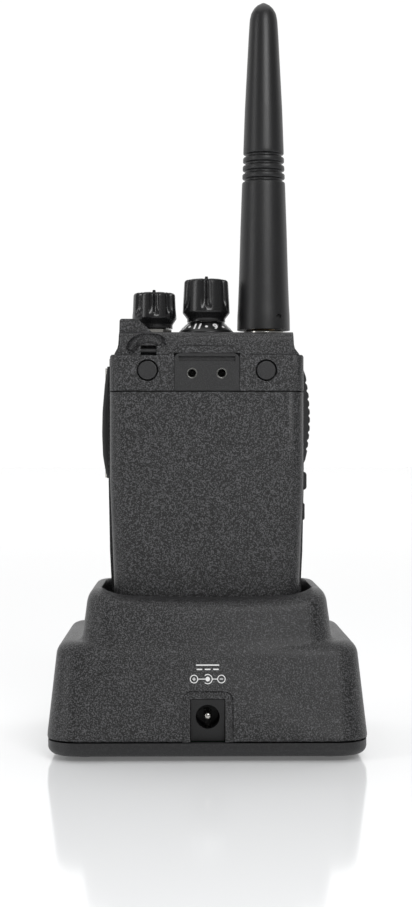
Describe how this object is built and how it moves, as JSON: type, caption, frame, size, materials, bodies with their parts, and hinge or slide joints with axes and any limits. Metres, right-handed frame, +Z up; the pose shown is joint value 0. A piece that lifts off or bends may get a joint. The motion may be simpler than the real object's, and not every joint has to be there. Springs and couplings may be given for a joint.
{
  "type": "handheld two-way radio in a desktop charging cradle",
  "caption": "Handheld two-way radio with rubber antenna, channel and volume knobs, side push-to-talk key and slide-off battery, standing in its desktop charging cradle.",
  "frame": {"origin": "middle of the cradle's footprint, on the surface it stands on", "axes": "+Z up, radio's front faces -Y, battery and DC inlet face +Y, volume knob at +X, antenna and push-to-talk key at -X"},
  "size_m": [0.0866, 0.078, 0.2105],
  "materials": {
    "cradle_abs": "fine spark-eroded texture",
    "rubber": "matte rubber",
    "steel": "nickel plated steel",
    "circuit_board": "solder mask",
    "lens": "translucent plastic",
    "socket_plastic": "smooth moulded",
    "nickel": "bright nickel",
    "gold_contact": "gold plated",
    "battery_abs": "fine spark-eroded texture",
    "case_pc": "fine spark-eroded texture",
    "brass": "machined",
    "dial_plastic": "gloss with white numbers",
    "knob_plastic": "gloss",
    "antenna_rubber": "satin rubber",
    "speaker_cloth": "woven dust cloth"
  },
  "bodies": {
    "cradle": {"cradle_shell": "cradle_abs", "cradle_base": "cradle_abs", "cradle_feet": "rubber", "cradle_screws": "steel", "charger_board": "circuit_board", "cradle_status_lens": "lens", "dc_jack_housing": "socket_plastic", "dc_jack_pin": "nickel", "dc_jack_spring": "steel", "charge_pin_block": "socket_plastic", "charge_pin_springs": "steel"},
    "charge_pins": {"charge_pins": "gold_contact"},
    "battery_pack": {"battery_cover": "battery_abs", "battery_inner_case": "battery_abs", "battery_cells": "nickel", "battery_board": "circuit_board", "battery_radio_contacts": "gold_contact", "battery_charge_contacts": "gold_contact"},
    "radio": {"front_case": "case_pc", "seal_gasket": "rubber", "rear_chassis": "case_pc", "top_cover": "case_pc", "radio_status_lens": "lens", "lanyard_bar": "steel", "belt_plate": "case_pc", "belt_inserts": "brass", "screw_caps": "rubber", "chassis_screws": "steel", "channel_switch": "socket_plastic", "volume_control": "socket_plastic", "control_nuts": "steel", "dial_ring": "dial_plastic", "antenna_socket": "steel", "key_switches": "circuit_board", "jack_cover_pin": "steel", "accessory_jacks": "socket_plastic", "main_board": "circuit_board", "shield_cans": "nickel", "radio_battery_contacts": "gold_contact", "speaker_mesh": "speaker_cloth", "speaker_frame": "steel", "speaker_cone": "speaker_cloth", "speaker_magnet": "steel", "microphone": "socket_plastic", "latch_springs": "steel", "latch_spring_seat": "socket_plastic"},
    "channel_knob": {"channel_knob": "knob_plastic", "channel_shaft": "steel"},
    "volume_knob": {"volume_knob": "knob_plastic", "volume_shaft": "steel"},
    "antenna": {"antenna_sleeve": "antenna_rubber", "antenna_core": "brass", "antenna_connector": "brass"},
    "ptt_button": {"ptt_button": "rubber"},
    "side_key_upper": {"side_key_upper": "rubber"},
    "side_key_lower": {"side_key_lower": "rubber"},
    "jack_cover": {"jack_cover": "rubber"},
    "battery_latch": {"battery_latch": "case_pc"}
  },
  "joints": [
    {"name": "lift_out", "type": "slide", "parent": "cradle", "child": "battery_pack", "axis": [0, 0, 1], "range_m": [0, 0.06]},
    {"name": "battery_slide", "type": "slide", "parent": "battery_pack", "child": "radio", "axis": [0, 0, 1], "range_m": [0, 0.012]},
    {"name": "charge_pins_press", "type": "slide", "parent": "cradle", "child": "charge_pins", "axis": [0, 0, 1], "range_m": [-0.0008, 0], "stiffness_N_per_m": 400, "springref_m": 0.0004, "deforming": ["charge_pin_springs"]},
    {"name": "channel_turn", "type": "hinge", "parent": "radio", "child": "channel_knob", "pos_m": [0, 0.004, 0.12], "axis": [0, 0, -1], "range_deg": [-22.5, 315]},
    {"name": "volume_turn", "type": "hinge", "parent": "radio", "child": "volume_knob", "pos_m": [0.0148, 0.004, 0.12], "axis": [0, 0, -1], "range_deg": [0, 300]},
    {"name": "antenna_unscrew", "type": "hinge", "parent": "radio", "child": "antenna", "pos_m": [-0.0164, 0.004, 0.12], "axis": [0, 0, 1], "range_deg": [0, 1800]},
    {"name": "ptt_press", "type": "slide", "parent": "radio", "child": "ptt_button", "axis": [1, 0, 0], "range_m": [0, 0.0012], "stiffness_N_per_m": 1500, "springref_m": -0.0008},
    {"name": "side_key_upper_press", "type": "slide", "parent": "radio", "child": "side_key_upper", "axis": [1, 0, 0], "range_m": [0, 0.0006], "stiffness_N_per_m": 2000, "springref_m": -0.0004},
    {"name": "side_key_lower_press", "type": "slide", "parent": "radio", "child": "side_key_lower", "axis": [1, 0, 0], "range_m": [0, 0.0006], "stiffness_N_per_m": 2000, "springref_m": -0.0004},
    {"name": "jack_cover_swing", "type": "hinge", "parent": "radio", "child": "jack_cover", "pos_m": [0.0291, -0.01135, 0.0907], "axis": [0, 0, -1], "range_deg": [0, 105]},
    {"name": "latch_press", "type": "slide", "parent": "radio", "child": "battery_latch", "axis": [0, -1, 0], "range_m": [0, 0.001], "stiffness_N_per_m": 800, "springref_m": -0.0008, "deforming": ["latch_springs"]}
  ]
}
